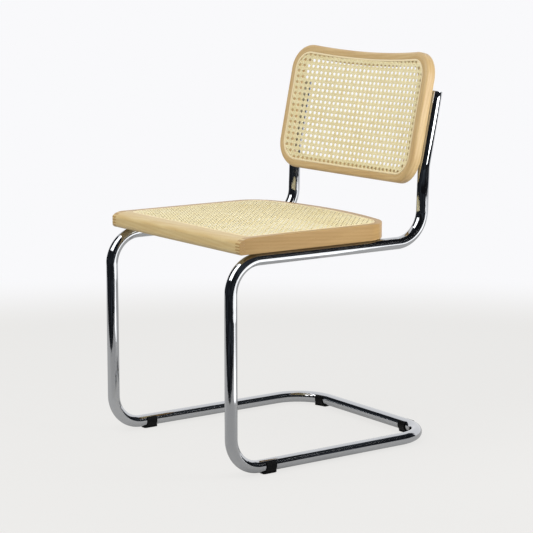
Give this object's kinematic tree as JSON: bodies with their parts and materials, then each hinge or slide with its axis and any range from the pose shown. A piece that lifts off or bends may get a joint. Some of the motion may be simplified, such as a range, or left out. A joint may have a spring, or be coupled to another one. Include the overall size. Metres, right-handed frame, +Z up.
{
  "type": "cantilever side chair",
  "caption": "Cantilever side chair: a bent chromed steel tube carries a seat and a curved back of beech frames with woven cane, on clip-on glides.",
  "frame": {"origin": "centre of the bottom of the bounding box, on the floor under the glides", "axes": "+Z up; the chair faces -Y; +X is the sitter's left"},
  "size_m": [0.4714, 0.5376, 0.8069],
  "materials": {
    "chromed_steel": "polished chrome plate on steel tube",
    "zinc_plated_steel": "zinc plated",
    "black_plastic": "moulded, satin black",
    "seat_beech": "clear satin lacquer on steam-bent beech",
    "front_beech": "clear satin lacquer on beech",
    "back_beech": "clear satin lacquer on steam-bent beech",
    "cane": "natural woven cane, unvarnished",
    "reed": "natural reed spline"
  },
  "bodies": {
    "root": {"frame_tube": "chromed_steel", "post_cap_left": "chromed_steel", "post_cap_right": "chromed_steel", "glide_front_left": "black_plastic", "glide_front_right": "black_plastic", "glide_rear_left": "black_plastic", "glide_rear_right": "black_plastic", "seat_front_board": "front_beech", "seat_bent_rail": "seat_beech", "seat_cane": "cane", "seat_spline": "reed", "back_frame": "back_beech", "back_cane": "cane", "back_spline": "reed", "seat_screw_front_left": "zinc_plated_steel", "seat_screw_rear_left": "zinc_plated_steel", "back_screw_lower_left": "zinc_plated_steel", "back_screw_upper_left": "zinc_plated_steel", "seat_screw_front_right": "zinc_plated_steel", "seat_screw_rear_right": "zinc_plated_steel", "back_screw_lower_right": "zinc_plated_steel", "back_screw_upper_right": "zinc_plated_steel"}
  },
  "joints": []
}
